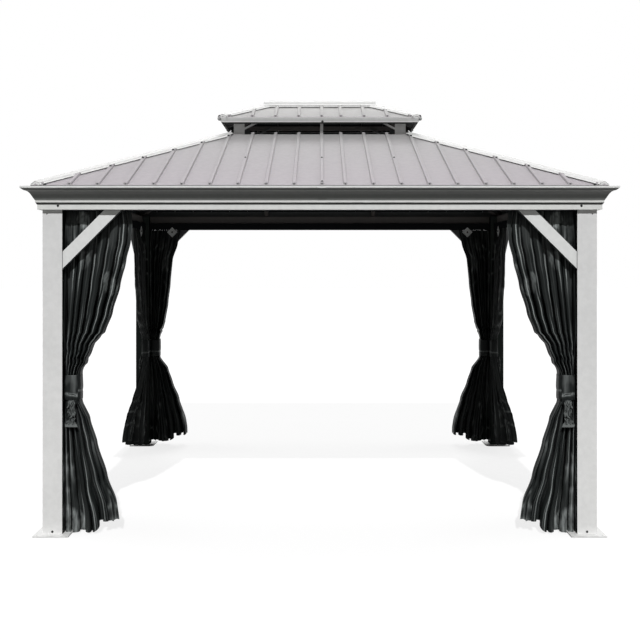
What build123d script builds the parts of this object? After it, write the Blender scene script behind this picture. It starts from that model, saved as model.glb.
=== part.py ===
from build123d import *
import os
from math import hypot, sqrt

# Metal gazebo, open on four sides, under a two-tier hipped roof of ribbed sheet.
# Millimetres. Origin on the ground in the middle, front towards -Y, +Z up.

# Frame
plan_x = 3390  # over the outer faces of the posts
plan_y = 2790
frame_top = 2111  # top of the posts and the beams
post = 120
tube_wall = 2
beam_deep = 120
beam_thick = 60
fit = 0.3  # clearance wherever one piece slides over or lies against another

# Foot plates
plate_thick = 8
plate_reach = 48  # beyond the post on every side
plate_round = 40  # the corner that points into the room
sleeve_high = 60
sleeve_wall = 3
anchor_radius = 6
anchor_inset = 23  # from the plate's edges

# Knee braces
brace_wide = 73
brace_thick = 40
brace_reach = 307  # from the corner of post and beam to the brace's centre line
brace_inset = 10  # behind the outer face of the post

# Curtain track, a double channel on the room side of each beam
track_drop = 4  # below the beam's underside
track_high = 58
track_deep = 30
channel = 9
channel_apart = 12
channel_slot = 4
channel_lip = 3
stop_side = 67  # square stop plates, set on one corner
stop_thick = 4
stop_along = 209  # from the post
stop_drop = 25  # from the beam's underside to the plate's middle

# Gutter section, from the beam's underside up: distances outward from the post's face, and heights
gutter_wall = 2.5
band_high = 33
band_out = 25
groove_high = 8
groove_out = 30
bead_high = 12
bead_out = 34
trough_lift = 4  # the floor above the bead
lip_lift = 73
lip_high = 11
lip_out = 105
cyma_out = (37, 52, 66, 88)  # points of the curved wall, outward and above the bead
cyma_lift = (6, 32, 51, 60)
cyma_facets = 7
cyma_lean = (0.75, 0.66)  # across the curved wall, outward and down
splice_wide = 50
splice_thick = 1.2

# Lower roof
eave_reach = 60  # beyond the post's outer face
eave_lift = 25  # above the posts
opening_x = 670  # half the opening under the lantern
opening_y = 278
roof_rise = 490
sheet = 1
rib_wide = 24
rib_high = 15
rib_edge = 3
rib_stop = 1.5  # plate that closes the lower end of each rib
rib_pitch = 170
rib_first = 155  # from the middle of the long sides
joint_x = 14  # the joint rib in the middle of the long sides
hip_gap = 6  # between the sheets and the hip line
cap_sheet = 1.2
cap_half = 50  # half the width of a hip cap in plan
cap_start = 35  # up from the eave's corner, in plan

# Roof frame
hip_bar_wide = 40
rafter_deep = 60
rafter_wide = 30
rafter_x = 495  # rafters of the long sides, either side of the middle
rafter_start = 27  # from the post's outer corner to the hip rafter's foot, in plan
ring_wide = 40
ring_high = 60
ring_reach = 10  # outside the opening's edge

# Lantern
lantern_reach_x = 74  # eave beyond the opening
lantern_reach_y = 74
lantern_lift = 115  # eave above the opening's edge
lantern_rise = 150
vent_post = 80
vent_post_thick = 3
vent_strut = 22
vent_foot = 7  # up from the bottom of the ring
vent_head = 8  # up the inside of the upper ring
stay_wide = 16
stay_thick = 11
stay_out = 40  # foot of the stay, in from the vent post's corner
stay_low = 19  # foot of the stay, above the opening's edge
stay_length = 200
stay_slope = 0.51
upper_ring = 30
upper_bar_wide = 25
upper_bar_deep = 30
upper_bar_start = 52
ridge_bar_deep = 40
fascia_deep = 43
fascia_lean = 26
fascia_sheet = 1.5
fascia_return = 15
ridge_cap_half = 68
ridge_cap_past = 38  # beyond the ends of the ridge
ridge_cap_rise = 45

# Curtains, as a share of the hanging height, then from and to along the track from the post, then from
# and to inward from the post's outer face. Each corner has a panel along the front or back and one
# along the side, each gathered beside the post by its own band.
tie_low = 830
tie_high = 980
tie_thick = 3
tie_inset = 2
gather = {"front": (6, 101, 18, 118), "back": (6, 93, 18, 118), "side": (12, 104, 70, 134)}
above_tie = {
    "front": [
        (0.959, 4, 415, 61, 89),
        (0.876, 4, 383, 55, 108),
        (0.8, 4, 351, 52, 112),
        (0.725, 4, 306, 26, 114),
        (0.612, 4, 212, 22, 118),
    ],
    "back": [
        (0.959, 4, 266, 61, 89),
        (0.854, 4, 216, 55, 108),
        (0.8, 4, 203, 52, 112),
        (0.736, 4, 190, 26, 114),
        (0.612, 4, 162, 22, 118),
    ],
    "side": [
        (0.959, 4, 445, 61, 89),
        (0.876, 4, 425, 55, 108),
        (0.78, 4, 390, 52, 110),
        (0.596, 4, 285, 48, 122),
    ],
}
below_tie = {
    "front": [(0.346, 4, 160, 12, 122), (0.202, 4, 242, 6, 126), (0.006, 4, 338, -4, 128)],
    "back": [(0.363, 4, 172, 12, 122), (0.208, 4, 258, 6, 126), (0.022, 4, 338, -4, 128)],
    "side": [(0.346, 6, 160, 50, 124), (0.202, 4, 250, 16, 120), (0.025, 4, 350, -45, 104)],
}

up = Vector(0, 0, 1)
half_x = plan_x / 2
half_y = plan_y / 2
beam_low = frame_top - beam_deep
track_low = beam_low - track_drop
eave_z = frame_top + eave_lift
sides = {
    "front": (Vector(0, -1, 0), half_y, half_x),
    "right": (Vector(1, 0, 0), half_x, half_y),
    "back": (Vector(0, 1, 0), half_y, half_x),
    "left": (Vector(-1, 0, 0), half_x, half_y),
}
corners = {
    "front_left": (-1, -1),
    "front_right": (1, -1),
    "back_left": (-1, 1),
    "back_right": (1, 1),
}
os.makedirs("parts", exist_ok=True)


def keep(piece, node):
    piece.part.label = node
    export_step(piece.part, f"parts/{node}.step")


def run_of(outward):
    return outward.cross(up)


# The two sides that meet at a corner: outward, distance to the outer face, half the run, away from the post
def corner_sides(sx, sy):
    return (
        (Vector(0, sy, 0), half_y, half_x, Vector(-sx, 0, 0)),
        (Vector(sx, 0, 0), half_x, half_y, Vector(0, -sy, 0)),
    )


# A plane across one side of the plan: local x is outward from the post's face, local y is up
def section_plane(side):
    outward, face, _ = sides[side]
    return Plane(origin=outward * face, x_dir=outward, z_dir=run_of(outward))


def hollow_rectangle(wide, deep, wall):
    Rectangle(wide, deep)
    Rectangle(wide - 2 * wall, deep - 2 * wall, mode=Mode.SUBTRACT)


# Posts and foot plates
plate_side = post + 2 * plate_reach
sleeve_side = post - 2 * tube_wall - 2 * fit
for corner, (sx, sy) in corners.items():
    axis_x = sx * (half_x - post / 2)
    axis_y = sy * (half_y - post / 2)

    with BuildPart() as post_tube:
        with BuildSketch(Plane((axis_x, axis_y, plate_thick))):
            hollow_rectangle(post, post, tube_wall)
        extrude(amount=frame_top - plate_thick)
    keep(post_tube, f"post_{corner}")

    with BuildPart() as foot:
        with BuildSketch(Plane((axis_x, axis_y, 0))):
            Rectangle(plate_side, plate_side)
            with GridLocations(plate_side - 2 * anchor_inset, plate_side - 2 * anchor_inset, 2, 2):
                Circle(anchor_radius, mode=Mode.SUBTRACT)
        extrude(amount=plate_thick)
        inner_corner = foot.edges().filter_by(Axis.Z).filter_by(GeomType.LINE)
        fillet(inner_corner.sort_by(lambda e: sx * e.center().X + sy * e.center().Y)[0], plate_round)
        with BuildSketch(Plane((axis_x, axis_y, plate_thick))):
            hollow_rectangle(sleeve_side, sleeve_side, sleeve_wall)
        extrude(amount=sleeve_high)
    keep(foot, f"foot_{corner}")

# Beams between the posts
for side, (outward, face, half_run) in sides.items():
    with BuildPart() as beam:
        with BuildSketch(section_plane(side)):
            with Locations((-beam_thick / 2, beam_low + beam_deep / 2)):
                hollow_rectangle(beam_thick, beam_deep, tube_wall)
        extrude(amount=half_run - post, both=True)
    keep(beam, f"beam_{side}")

# Gutters, one extruded section that is also the fascia, mitred at the corners. The back wall stands
# up to the roof sheets.
band_top = beam_low + band_high
groove_top = band_top + groove_high
bead_top = groove_top + bead_high
trough_floor = bead_top + trough_lift
lip_low = bead_top + lip_lift
lip_top = lip_low + lip_high
floor_low = trough_floor - gutter_wall
curve = Edge.make_spline([Vector(out, bead_top + lift) for out, lift in zip(cyma_out, cyma_lift)])
cyma = [curve @ (step / cyma_facets) for step in range(cyma_facets + 1)]


def curved_wall(gap):
    return [(at.X + gap * cyma_lean[0], at.Y - gap * cyma_lean[1]) for at in cyma]


lower_run = (eave_reach + half_y - opening_y, eave_reach + half_x - opening_x)
lower_fall = [roof_rise / run for run in lower_run]
lower_steep = hypot(1, max(lower_fall))
back_top = eave_z + (eave_reach - gutter_wall) * min(lower_fall) - sheet * lower_steep - fit
for side, (outward, face, half_run) in sides.items():
    with BuildPart() as gutter:
        with BuildSketch(section_plane(side)):
            with BuildLine():
                Polyline(
                    (0, beam_low),
                    (band_out, beam_low),
                    (band_out, band_top),
                    (groove_out, band_top),
                    (groove_out, groove_top),
                    (bead_out, groove_top),
                    (bead_out, bead_top),
                    *curved_wall(0),
                    (lip_out, lip_low),
                    (lip_out, lip_top),
                    (lip_out - gutter_wall, lip_top),
                    (lip_out - gutter_wall, lip_low + gutter_wall),
                    *reversed(curved_wall(-gutter_wall)),
                    (bead_out - gutter_wall, trough_floor),
                    (gutter_wall, trough_floor),
                    (gutter_wall, back_top),
                    (0, back_top),
                    (0, floor_low),
                    (bead_out - gutter_wall, floor_low),
                    (bead_out - gutter_wall, groove_top + gutter_wall),
                    (groove_out - gutter_wall, groove_top + gutter_wall),
                    (groove_out - gutter_wall, band_top + gutter_wall),
                    (band_out - gutter_wall, band_top + gutter_wall),
                    (band_out - gutter_wall, beam_low + gutter_wall),
                    (0, beam_low + gutter_wall),
                    close=True,
                )
            make_face()
        extrude(amount=half_run + lip_out, both=True)
        for end in (1, -1):
            run = run_of(outward) * end
            mitre = Plane(origin=outward * face + run * half_run, z_dir=run - outward)
            split(bisect_by=mitre, keep=Keep.BOTTOM)
    keep(gutter, f"gutter_{side}")

# Cover straps over the joints in the long gutters
with BuildPart() as splices:
    for side in ("front", "back"):
        outward, face, _ = sides[side]
        strap_plane = section_plane(side).offset(joint_x * run_of(outward).X)
        with BuildSketch(strap_plane):
            with BuildLine():
                Polyline(
                    *curved_wall(fit),
                    (lip_out + fit, lip_low - fit),
                    (lip_out + fit, lip_top),
                    (lip_out + fit + splice_thick, lip_top),
                    (lip_out + fit + splice_thick, lip_low - fit - splice_thick),
                    *reversed(curved_wall(fit + splice_thick)),
                    close=True,
                )
            make_face()
        extrude(amount=splice_wide / 2, both=True)
keep(splices, "gutter_splices")

# Knee braces, square tube at 45 degrees between the post and the beam, one pair a corner
for corner, (sx, sy) in corners.items():
    with BuildPart() as braces:
        for outward, face, half_run, inward in corner_sides(sx, sy):
            middle = outward * (face - brace_inset - brace_thick / 2) - inward * (half_run - post)
            foot_end = middle + up * (beam_low - brace_reach) - (inward + up) * brace_wide
            brace_plane = Plane(origin=foot_end, x_dir=outward, z_dir=inward + up)
            with BuildSketch(brace_plane):
                hollow_rectangle(brace_thick, brace_wide, tube_wall)
            tube = extrude(amount=sqrt(2) * (brace_reach + 2 * brace_wide), mode=Mode.PRIVATE)
            tube = tube.split(Plane(origin=middle, z_dir=inward), keep=Keep.TOP)
            tube = tube.split(Plane(origin=up * beam_low, z_dir=up), keep=Keep.BOTTOM)
            add(tube)
    keep(braces, f"knee_braces_{corner}")

# Curtain tracks and their stop plates
track_middle = beam_thick + track_deep / 2
channel_at = (track_middle - channel_apart / 2, track_middle + channel_apart / 2)
with BuildPart() as tracks:
    for side, (outward, face, half_run) in sides.items():
        with BuildSketch(section_plane(side)):
            with Locations((-track_middle, track_low + track_high / 2)):
                Rectangle(track_deep, track_high)
            with Locations(*[(-at, track_low + channel_lip + channel / 2) for at in channel_at]):
                Rectangle(channel, channel, mode=Mode.SUBTRACT)
            with Locations(*[(-at, track_low + channel_lip / 2) for at in channel_at]):
                Rectangle(channel_slot, channel_lip, mode=Mode.SUBTRACT)
        extrude(amount=half_run - post, both=True)
keep(tracks, "curtain_tracks")

with BuildPart() as stops:
    for outward, face, half_run in sides.values():
        for end in (1, -1):
            run = run_of(outward) * end
            back = face - beam_thick - track_deep
            place = outward * back + run * (half_run - post - stop_along) + up * (beam_low - stop_drop)
            with BuildSketch(Plane(origin=place, x_dir=run + up, z_dir=-outward)):
                Rectangle(stop_side, stop_side)
            extrude(amount=stop_thick)
keep(stops, "track_stop_plates")

# Lower roof: four ribbed sheets that stop short of the hips
eave_x = half_x + eave_reach
eave_y = half_y + eave_reach
opening_z = eave_z + roof_rise


def rib_places(half, first, joint):
    places = [joint]
    place = first
    while place < half:
        places += [place, -place]
        place += rib_pitch
    return places


def rib_outline(half, high, low):
    Polyline(
        (-half, low),
        (-half, high - rib_edge),
        (-half + rib_edge, high),
        (half - rib_edge, high),
        (half, high - rib_edge),
        (half, low),
        close=True,
    )


# One slope of a hipped roof: a flat sheet with standing ribs, cut in plan along its two hips
def ribbed_sheet(outward, eave, low, run, rise, eave_half, head_half, ribs):
    climb = up * rise - outward * run
    along = run_of(outward)
    eave_plane = Plane(origin=outward * eave + up * low, x_dir=along, z_dir=climb)
    with BuildPart() as slope:
        with BuildSketch(eave_plane):
            with Locations((0, -sheet / 2)):
                Rectangle(2 * eave_half, sheet)
            with BuildSketch(mode=Mode.PRIVATE) as hat:
                with BuildLine():
                    rib_outline(rib_wide / 2, rib_high, -sheet)
                make_face()
            with BuildSketch(mode=Mode.PRIVATE) as bore:
                with BuildLine():
                    rib_outline(rib_wide / 2 - sheet, rib_high - sheet, -sheet)
                make_face()
            with Locations(*[(rib, 0) for rib in ribs]):
                add(hat.sketch)
                add(bore.sketch, mode=Mode.SUBTRACT)
        extrude(amount=hypot(run, rise) + rib_high)
        with BuildSketch(eave_plane):
            with Locations(*[(rib, 0) for rib in ribs]):
                add(hat.sketch)
        extrude(amount=rib_stop)
        inset = hip_gap * hypot(eave_half - head_half, run) / run
        low_half = eave_half - inset
        head = head_half - inset
        top_run = run if head > 0 else run * low_half / (eave_half - head_half)
        low_end = outward * eave
        high_end = outward * (eave - top_run)
        with BuildSketch(Plane.XY):
            with BuildLine():
                outline = [low_end - along * low_half, low_end + along * low_half]
                if head > 0:
                    outline += [high_end + along * head, high_end - along * head]
                else:
                    outline += [high_end]
                Polyline(*outline, close=True)
            make_face()
        extrude(amount=low + rise + 2 * rib_high, mode=Mode.INTERSECT)
    return slope


for side, (outward, face, half_run) in sides.items():
    if side in ("front", "back"):
        ribs = rib_places(eave_x, rib_first, joint_x * run_of(outward).X)
        slope = ribbed_sheet(
            outward, eave_y, eave_z, eave_y - opening_y, roof_rise, eave_x, opening_x, ribs
        )
    else:
        ribs = rib_places(eave_y, rib_pitch, 0)
        slope = ribbed_sheet(
            outward, eave_x, eave_z, eave_x - opening_x, roof_rise, eave_y, opening_y, ribs
        )
    keep(slope, f"lower_roof_{side}")


# A hip from a corner of the eave: its vertical cross-section, its way up and how fast each side falls
class Hip:
    def __init__(self, sx, sy, x, y, z, run_x, run_y, rise):
        self.length = hypot(run_x, run_y)
        self.heading = Vector(-sx * run_x, -sy * run_y, 0) / self.length
        self.corner = Vector(sx * x, sy * y, z)
        self.rise = rise / self.length
        long_fall = rise * run_x / (run_y * self.length)
        side_fall = rise * run_y / (run_x * self.length)
        self.falls = (long_fall, side_fall) if sx * sy < 0 else (side_fall, long_fall)

    def plane(self, start):
        at = self.corner + (self.heading + up * self.rise) * start
        return Plane(origin=at, x_dir=up.cross(self.heading), z_dir=self.heading)

    def way(self):
        return self.heading + up * self.rise

    def reach(self, start, end):
        return (end - start) * hypot(1, self.rise)


def chevron(half, height, falls):
    plus, minus = falls
    Polyline(
        (-half, height - half * minus),
        (0, height),
        (half, height - half * plus),
        (half, height - half * plus - cap_sheet),
        (0, height - cap_sheet),
        (-half, height - half * minus - cap_sheet),
        close=True,
    )


def steepness(run, rise):
    return hypot(run, rise) / run


# The caps lie on the ribs of both slopes
lower_cap = rib_high * lower_steep + fit + cap_sheet
lower_hips = {
    corner: Hip(sx, sy, eave_x, eave_y, eave_z, eave_x - opening_x, eave_y - opening_y, roof_rise)
    for corner, (sx, sy) in corners.items()
}
with BuildPart() as lower_caps:
    for hip in lower_hips.values():
        with BuildSketch(hip.plane(cap_start)):
            with BuildLine():
                chevron(cap_half, lower_cap, hip.falls)
            make_face()
        extrude(amount=hip.reach(cap_start, hip.length), dir=hip.way())
keep(lower_caps, "lower_hip_caps")

# Ring beam round the opening, level, with its top edge under the sheets
ring_x = opening_x + ring_reach
ring_y = opening_y + ring_reach
ring_top = opening_z - ring_reach * max(lower_fall) - sheet * lower_steep - fit
ring_low = ring_top - ring_high
inner_x = ring_x - ring_wide
inner_y = ring_y - ring_wide
with BuildPart() as ring:
    with BuildSketch(Plane.XY.offset(ring_low)):
        Rectangle(2 * ring_x, 2 * ring_y)
        Rectangle(2 * inner_x, 2 * inner_y, mode=Mode.SUBTRACT)
    extrude(amount=ring_high)
keep(ring, "roof_ring_beam")

# Hip rafters, seated on the posts and cut to the ring's corners
with BuildPart() as hip_rafters:
    for corner, hip in lower_hips.items():
        start = (eave_reach + rafter_start) * hip.length / (eave_x - opening_x)
        drop = sheet * lower_steep + fit + hip_bar_wide / 2 * max(hip.falls)
        with BuildSketch(hip.plane(start)):
            with Locations((0, -drop - rafter_deep / 2)):
                hollow_rectangle(hip_bar_wide, rafter_deep, tube_wall)
        extrude(amount=hip.reach(start, hip.length), dir=hip.way())
    with Locations((0, 0, ring_low)):
        Box(2 * ring_x, 2 * ring_y, 2 * rafter_deep + 2 * ring_high, mode=Mode.SUBTRACT)
    split(bisect_by=Plane.XY.offset(frame_top), keep=Keep.TOP)
keep(hip_rafters, "hip_rafters")

# Common rafters, seated on the beams and cut to the ring's sides
common_places = {"front": (-rafter_x, rafter_x), "right": (0,), "back": (-rafter_x, rafter_x), "left": (0,)}
with BuildPart() as rafters:
    for side, places in common_places.items():
        outward, face, half_run = sides[side]
        run = face + eave_reach - (opening_y if outward.X == 0 else opening_x)
        steep = steepness(run, roof_rise)
        drop = (sheet + rafter_deep / 2) * steep + fit
        for place in places:
            low_end = outward * (face + eave_reach) + run_of(outward) * place + up * (eave_z - drop)
            climb = up * roof_rise - outward * run
            with BuildSketch(Plane(origin=low_end, x_dir=run_of(outward), z_dir=climb)):
                hollow_rectangle(rafter_wide, rafter_deep, tube_wall)
            extrude(amount=hypot(run, roof_rise))
    with Locations((0, 0, ring_low)):
        Box(2 * ring_x, 2 * ring_y, 2 * rafter_deep + 2 * ring_high, mode=Mode.SUBTRACT)
    with BuildSketch(Plane.XY.offset(frame_top)):
        Rectangle(plan_x, plan_y)
    extrude(amount=roof_rise + eave_z - frame_top, mode=Mode.INTERSECT)
keep(rafters, "common_rafters")

# Lantern frame: angle posts inside the ring with a stay each, and a strut in the middle of the long sides
lantern_x = opening_x + lantern_reach_x
lantern_y = opening_y + lantern_reach_y
lantern_z = opening_z + lantern_lift
ridge_x = lantern_x - lantern_y
upper_fall = lantern_rise / lantern_y
upper_steep = steepness(lantern_y, lantern_rise)
vent_low = ring_low + vent_foot
upper_ring_x = inner_x + upper_ring
upper_ring_y = inner_y + upper_ring
upper_ring_top = lantern_z + (lantern_x - upper_ring_x) * upper_fall - sheet * upper_steep - fit
upper_ring_low = upper_ring_top - upper_ring
vent_high = upper_ring_low + vent_head - vent_low
with BuildPart() as vent_posts:
    for sx, sy in corners.values():
        with BuildSketch(Plane.XY.offset(vent_low)):
            with BuildLine():
                Polyline(
                    (sx * inner_x, sy * inner_y),
                    (sx * (inner_x - vent_post), sy * inner_y),
                    (sx * (inner_x - vent_post), sy * (inner_y - vent_post_thick)),
                    (sx * (inner_x - vent_post_thick), sy * (inner_y - vent_post_thick)),
                    (sx * (inner_x - vent_post_thick), sy * (inner_y - vent_post)),
                    (sx * inner_x, sy * (inner_y - vent_post)),
                    close=True,
                )
            make_face()
        extrude(amount=vent_high)
        stay_x = inner_x - stay_out
        stay_z = opening_z + stay_low
        with BuildSketch(Plane(origin=(0, sy * inner_y, 0), x_dir=(sx, 0, 0), z_dir=(0, -sy, 0))):
            with BuildLine():
                turn = sx * sy
                Polyline(
                    (stay_x, turn * stay_z),
                    (stay_x - stay_length, turn * (stay_z + stay_length * stay_slope)),
                    (stay_x - stay_length, turn * (stay_z + stay_length * stay_slope + stay_wide)),
                    (stay_x, turn * (stay_z + stay_wide)),
                    close=True,
                )
            make_face()
        extrude(amount=stay_thick)
    for sy in (1, -1):
        with Locations((joint_x, sy * (inner_y - vent_strut / 2), vent_low + vent_high / 2)):
            Box(vent_strut, vent_strut, vent_high)
keep(vent_posts, "vent_posts")

# Upper frame: ring, hip bars and ridge bar in one welded piece
upper_hips = [
    Hip(sx, sy, lantern_x, lantern_y, lantern_z, lantern_y, lantern_y, lantern_rise)
    for sx, sy in corners.values()
]
with BuildPart() as upper_frame:
    with BuildSketch(Plane.XY.offset(upper_ring_low)):
        Rectangle(2 * upper_ring_x, 2 * upper_ring_y)
        Rectangle(2 * inner_x, 2 * inner_y, mode=Mode.SUBTRACT)
    extrude(amount=upper_ring)
    for hip in upper_hips:
        drop = sheet * upper_steep + fit + upper_bar_wide / 2 * max(hip.falls)
        with BuildSketch(hip.plane(upper_bar_start)):
            with Locations((0, -drop - upper_bar_deep / 2)):
                Rectangle(upper_bar_wide, upper_bar_deep)
        extrude(amount=hip.reach(upper_bar_start, hip.length), dir=hip.way())
    ridge_drop = sheet * upper_steep + fit + upper_bar_wide / 2 * upper_fall
    with Locations((0, 0, lantern_z + lantern_rise - ridge_drop - ridge_bar_deep / 2)):
        Box(2 * ridge_x, upper_bar_wide, ridge_bar_deep)
keep(upper_frame, "upper_frame")

# Leaning band round the lantern's eave, with a return at the top under the sheets
fascia_top = lantern_z - sheet * upper_steep - fit
fascia_low = fascia_top - fascia_deep
fascia_slope = fascia_lean / fascia_deep


def eave_rectangle(inset, mode=Mode.ADD):
    Rectangle(2 * (lantern_x - inset), 2 * (lantern_y - inset), mode=mode)


with BuildPart() as fascia:
    for inset, mode in ((0, Mode.ADD), (fascia_sheet, Mode.SUBTRACT)):
        with BuildSketch(Plane.XY.offset(fascia_low)):
            eave_rectangle(inset + fascia_lean)
        with BuildSketch(Plane.XY.offset(fascia_top)):
            eave_rectangle(inset)
        loft(ruled=True, mode=mode)
    with BuildSketch(Plane.XY.offset(fascia_top - fascia_sheet)):
        eave_rectangle(fascia_sheet * fascia_slope)
        eave_rectangle(fascia_return, Mode.SUBTRACT)
    extrude(amount=fascia_sheet)
keep(fascia, "upper_fascia")

# Upper roof: long slopes and triangular ends
for side, (outward, face, half_run) in sides.items():
    if side in ("front", "back"):
        ribs = rib_places(lantern_x, rib_first, joint_x * run_of(outward).X)
        slope = ribbed_sheet(
            outward, lantern_y, lantern_z, lantern_y, lantern_rise, lantern_x, ridge_x, ribs
        )
    else:
        ribs = rib_places(lantern_y, rib_pitch, 0)
        slope = ribbed_sheet(
            outward, lantern_x, lantern_z, lantern_y, lantern_rise, lantern_y, 0, ribs
        )
    keep(slope, f"upper_roof_{side}")

upper_cap = rib_high * upper_steep + fit + cap_sheet
with BuildPart() as upper_caps:
    for hip in upper_hips:
        with BuildSketch(hip.plane(cap_start)):
            with BuildLine():
                chevron(cap_half, upper_cap, hip.falls)
            make_face()
        extrude(amount=hip.reach(cap_start, hip.length), dir=hip.way())
keep(upper_caps, "upper_hip_caps")

# Arched cap along the ridge, over the hip caps
ridge_edge = lantern_z + lantern_rise - ridge_cap_half * upper_fall + upper_cap + fit
with BuildPart() as ridge_cap:
    with BuildSketch(Plane.YZ):
        with BuildLine():
            for low in (ridge_edge, ridge_edge + cap_sheet):
                ThreePointArc((-ridge_cap_half, low), (0, low + ridge_cap_rise), (ridge_cap_half, low))
            for edge in (-ridge_cap_half, ridge_cap_half):
                Line((edge, ridge_edge), (edge, ridge_edge + cap_sheet))
        make_face()
    extrude(amount=ridge_x + ridge_cap_past, both=True)
keep(ridge_cap, "ridge_cap")


# Curtains. Seen along the track and seen across it, a panel has two outlines, and its solid is what
# both of them hold.
def levels_of(kind):
    hung = track_low - fit
    upper = [(share * hung, *spread) for share, *spread in above_tie[kind]]
    lower = [(share * hung, *spread) for share, *spread in below_tie[kind]]
    top = (hung, *above_tie[kind][0][1:])
    return [top, *upper, (tie_high, *gather[kind]), (tie_low, *gather[kind]), *lower]


def outline(levels, low, high):
    left = [(level[low], level[0]) for level in levels]
    right = [(level[high], level[0]) for level in levels]
    Polyline(*left, *reversed(right), close=True)


def curtain_panel(outward, face, half_run, inward, levels):
    post_corner = outward * face - inward * (half_run - post)
    with BuildPart() as panel:
        with BuildSketch(Plane(origin=post_corner, x_dir=inward, z_dir=inward.cross(up))):
            with BuildLine():
                outline(levels, 1, 2)
            make_face()
        extrude(amount=half_x, both=True)
        with BuildSketch(Plane(origin=post_corner, x_dir=-outward, z_dir=up.cross(outward))):
            with BuildLine():
                outline(levels, 3, 4)
            make_face()
        extrude(amount=half_x, both=True, mode=Mode.INTERSECT)
    return panel.part


for corner, (sx, sy) in corners.items():
    kinds = ("front" if sy < 0 else "back", "side")
    with BuildPart() as curtain:
        for kind, placed in zip(kinds, corner_sides(sx, sy)):
            add(curtain_panel(*placed, levels_of(kind)))
    keep(curtain, f"curtain_{corner}")

# Tie bands, one loose round each bundle
band_past = 2 * (fit + tie_thick)
with BuildPart() as ties:
    for sx, sy in corners.values():
        kinds = ("front" if sy < 0 else "back", "side")
        for kind, (outward, face, half_run, inward) in zip(kinds, corner_sides(sx, sy)):
            start, end, near, far = gather[kind]
            middle = outward * (face - (near + far) / 2) - inward * (half_run - post - (start + end) / 2)
            with BuildSketch(Plane(origin=middle + up * (tie_low + tie_inset), x_dir=inward, z_dir=up)):
                hollow_rectangle(end - start + band_past, far - near + band_past, tie_thick)
            extrude(amount=tie_high - tie_low - 2 * tie_inset)
keep(ties, "curtain_ties")
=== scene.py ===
import math

import bmesh
import bpy
import numpy
from mathutils import Matrix, Vector, noise


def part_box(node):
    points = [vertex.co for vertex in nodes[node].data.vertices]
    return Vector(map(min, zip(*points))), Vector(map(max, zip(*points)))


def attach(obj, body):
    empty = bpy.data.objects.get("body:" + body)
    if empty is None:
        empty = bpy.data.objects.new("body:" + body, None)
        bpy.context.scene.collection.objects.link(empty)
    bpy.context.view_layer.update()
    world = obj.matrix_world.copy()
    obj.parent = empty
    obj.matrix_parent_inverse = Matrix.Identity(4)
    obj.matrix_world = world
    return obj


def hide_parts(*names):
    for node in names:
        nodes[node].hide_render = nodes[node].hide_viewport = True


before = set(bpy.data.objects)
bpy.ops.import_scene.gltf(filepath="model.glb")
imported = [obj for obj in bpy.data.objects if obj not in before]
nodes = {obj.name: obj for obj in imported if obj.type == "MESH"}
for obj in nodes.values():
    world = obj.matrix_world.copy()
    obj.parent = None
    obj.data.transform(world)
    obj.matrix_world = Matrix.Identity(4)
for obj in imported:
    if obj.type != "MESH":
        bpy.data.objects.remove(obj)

scene = bpy.context.scene
scene.view_settings.view_transform = "Standard"
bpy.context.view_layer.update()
corners = {"frontLeft": (-1, -1), "frontRight": (1, -1), "backLeft": (-1, 1), "backRight": (1, 1)}
post = {"outerX": 1.695, "outerY": 1.395, "side": 0.120}  # half lengths to the posts' outer faces, and their width
print("frame loaded:", len(nodes), "parts")


# Camera, at the height and distance of the photograph
view = {"place": (0, -6.645, 1.635), "lens": 48.296, "sensor": 36, "shiftX": 0.0004, "shiftY": -0.08125}
cameraData = bpy.data.cameras.new("camera")
cameraData.lens = view["lens"]
cameraData.sensor_width = view["sensor"]
cameraData.shift_x = view["shiftX"]
cameraData.shift_y = view["shiftY"]
camera = bpy.data.objects.new("camera", cameraData)
camera.location = view["place"]
camera.rotation_euler = (math.radians(90), 0, 0)
scene.collection.objects.link(camera)
scene.camera = camera


def linear(hexColour):
    channels = [int(hexColour[i:i + 2], 16) / 255 for i in (1, 3, 5)]
    return [c / 12.92 if c <= 0.04045 else ((c + 0.055) / 1.055) ** 2.4 for c in channels] + [1.0]


def addNode(tree, kind, inputs=None, **settings):
    node = tree.nodes.new("ShaderNode" + kind)
    for setting, value in settings.items():
        setattr(node, setting, value)
    for name, value in (inputs or {}).items():
        if isinstance(value, bpy.types.NodeSocket):
            tree.links.new(value, node.inputs[name])
        else:
            node.inputs[name].default_value = value
    return node


def newFinish(name, **sockets):
    finish = bpy.data.materials.new(name)
    finish.use_nodes = True
    shader = finish.node_tree.nodes["Principled BSDF"]
    for socket, value in sockets.items():
        shader.inputs[socket.replace("_", " ")].default_value = value
    return finish, finish.node_tree, shader


# Lights: a clear sun from the front, weak fills from the other sides, pale surroundings
daylight = {
    "sun": {"strength": 3.3, "height": 43, "heading": 0, "size": 1.0},
    "leftFill": {"strength": 0.9, "height": 30, "heading": -100, "size": 30},
    "rightFill": {"strength": 0.9, "height": 30, "heading": 100, "size": 30},
    "backFill": {"strength": 1.6, "height": 56, "heading": 180, "size": 30},
}
for name, lamp in daylight.items():
    data = bpy.data.lights.new(name, "SUN")
    data.energy = lamp["strength"]
    data.angle = math.radians(lamp["size"])
    light = bpy.data.objects.new(name, data)
    light.rotation_euler = (math.radians(90 - lamp["height"]), 0, math.radians(lamp["heading"]))
    scene.collection.objects.link(light)


# 1 for the eye's own rays, and for those that reach it by a mirror or through glass
def seenRays(tree):
    ray = addNode(tree, "LightPath").outputs
    seen = addNode(tree, "Math", {0: ray["Is Camera Ray"], 1: ray["Is Glossy Ray"]}, operation="MAXIMUM")
    seen = addNode(tree, "Math", {0: seen.outputs[0], 1: ray["Is Transmission Ray"]}, operation="MAXIMUM")
    return seen.outputs[0]


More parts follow.
